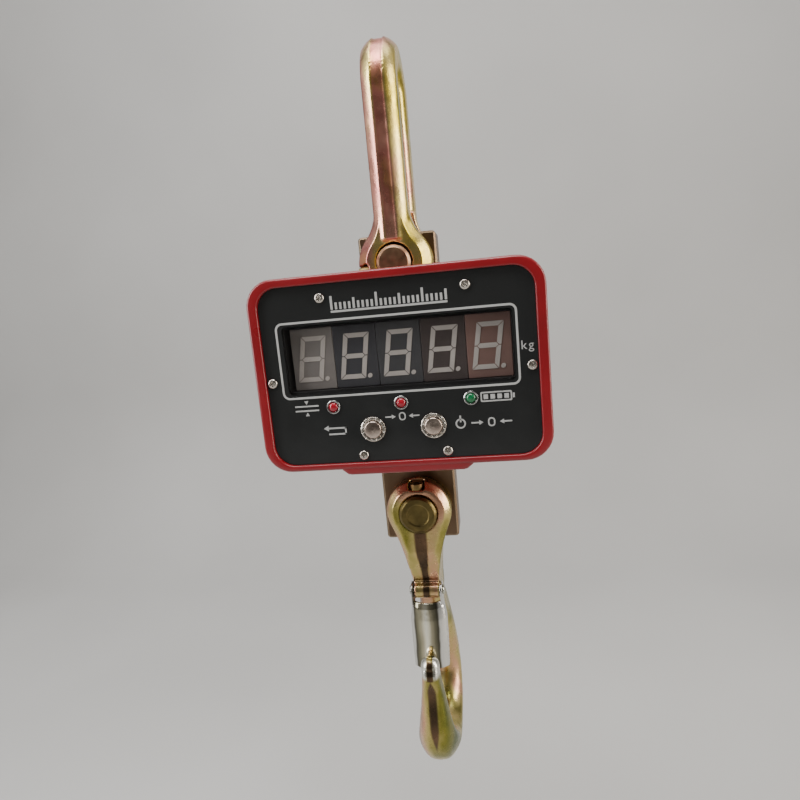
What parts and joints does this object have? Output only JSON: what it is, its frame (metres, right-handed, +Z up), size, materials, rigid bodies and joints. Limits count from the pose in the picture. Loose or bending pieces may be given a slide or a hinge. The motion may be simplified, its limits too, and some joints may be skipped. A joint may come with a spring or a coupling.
{
  "type": "crane scale",
  "caption": "Hanging crane scale: load cell block between a swinging shackle and a latched clevis hook, with a clamped two-shell housing carrying a five-digit display and push buttons.",
  "frame": {"origin": "the hang point, on the inside of the shackle crown", "axes": "+Z up along the load line, -Y towards the display, +X to the right of someone reading it"},
  "size_m": [0.1888, 0.132, 0.5358],
  "materials": {
    "forged_yellow_zinc": "drop-forged alloy steel, yellow chromated zinc, iridescent",
    "pin_yellow_zinc": "turned steel, yellow chromated zinc",
    "load_cell_steel": "ground alloy steel, bronze-brown satin plating",
    "gauge_foil": "foil on film",
    "bright_zinc": "pressed steel, bright zinc plated",
    "spring_steel": "drawn wire",
    "red_enamel": "glossy baked red enamel on die-cast aluminium",
    "black_rubber": "moulded, matt",
    "screw_nickel": "nickel plated",
    "spacer_brass": "turned",
    "black_panel": "gloss black, printed in light grey",
    "smoked_window": "smoked acrylic pane",
    "shroud_black": "moulded",
    "digit_grey": "seven-segment face, unlit",
    "circuit_board": "green solder mask",
    "led_red": "red diffused lens",
    "led_green": "green diffused lens",
    "bezel_chrome": "bright",
    "button_nickel": "turned, satin cap and bright ring",
    "battery_case": "moulded sealed lead-acid case",
    "tray_steel": "folded zinc-plated sheet",
    "foam_grey": "closed-cell foam",
    "socket_black": "moulded",
    "lead_sheath": "sheathed cable"
  },
  "bodies": {
    "shackle": {"shackle": "forged_yellow_zinc", "shackle_pin": "pin_yellow_zinc", "shackle_lock_screw": "pin_yellow_zinc"},
    "scale_body": {"battery": "battery_case", "battery_cover": "red_enamel", "battery_cover_screws": "screw_nickel", "battery_pads": "foam_grey", "battery_tray": "tray_steel", "board_nuts": "screw_nickel", "board_spacers": "spacer_brass", "board_studs": "screw_nickel", "bottom_collar": "black_rubber", "bracket_left": "bright_zinc", "bracket_right": "bright_zinc", "bracket_screws": "screw_nickel", "bracket_shell_screws": "screw_nickel", "button_body_left": "button_nickel", "button_body_right": "button_nickel", "button_nuts": "button_nickel", "button_spring_left": "spring_steel", "button_spring_right": "spring_steel", "cell_lead": "lead_sheath", "charge_socket": "socket_black", "charge_socket_nut": "socket_black", "digit_module_1": "digit_grey", "digit_module_2": "digit_grey", "digit_module_3": "digit_grey", "digit_module_4": "digit_grey", "digit_module_5": "digit_grey", "display_board": "circuit_board", "display_shroud": "shroud_black", "display_window": "smoked_window", "front_panel": "black_panel", "front_shell": "red_enamel", "gauge_cover_front": "load_cell_steel", "gauge_cover_rear": "load_cell_steel", "led_bezels": "bezel_chrome", "led_charge": "led_green", "led_steady": "led_red", "led_tare": "led_red", "load_cell_body": "load_cell_steel", "main_board": "circuit_board", "panel_gasket": "black_rubber", "panel_screws": "screw_nickel", "rear_shell": "red_enamel", "shell_gasket": "black_rubber", "shell_screws": "screw_nickel", "strain_gauges": "gauge_foil", "top_collar": "black_rubber"},
    "hook": {"hook": "forged_yellow_zinc", "hook_pin": "pin_yellow_zinc", "hook_lock_screw": "pin_yellow_zinc", "latch_pin": "bright_zinc", "latch_spring": "spring_steel"},
    "latch": {"latch": "bright_zinc"},
    "button_left": {"button_cap_left": "button_nickel"},
    "button_right": {"button_cap_right": "button_nickel"}
  },
  "joints": [
    {"name": "shackle_swing", "type": "hinge", "parent": "shackle", "child": "scale_body", "pos_m": [0, 0, -0.125], "axis": [0, 1, 0], "range_deg": [-75, 75]},
    {"name": "hook_swing", "type": "hinge", "parent": "scale_body", "child": "hook", "pos_m": [0, 0, -0.3015], "axis": [0, 1, 0], "range_deg": [-90, 90]},
    {"name": "latch_open", "type": "hinge", "parent": "hook", "child": "latch", "pos_m": [0, -0.0175, -0.3655], "axis": [1, 0, 0], "range_deg": [0, 40], "stiffness_Nm_per_rad": 0.12, "springref_deg": -34.38},
    {"name": "button_left_press", "type": "slide", "parent": "scale_body", "child": "button_left", "axis": [0, 1, 0], "range_m": [0, 0.0015], "stiffness_N_per_m": 900, "springref_m": -0.0015},
    {"name": "button_right_press", "type": "slide", "parent": "scale_body", "child": "button_right", "axis": [0, 1, 0], "range_m": [0, 0.0015], "stiffness_N_per_m": 900, "springref_m": -0.0015}
  ]
}
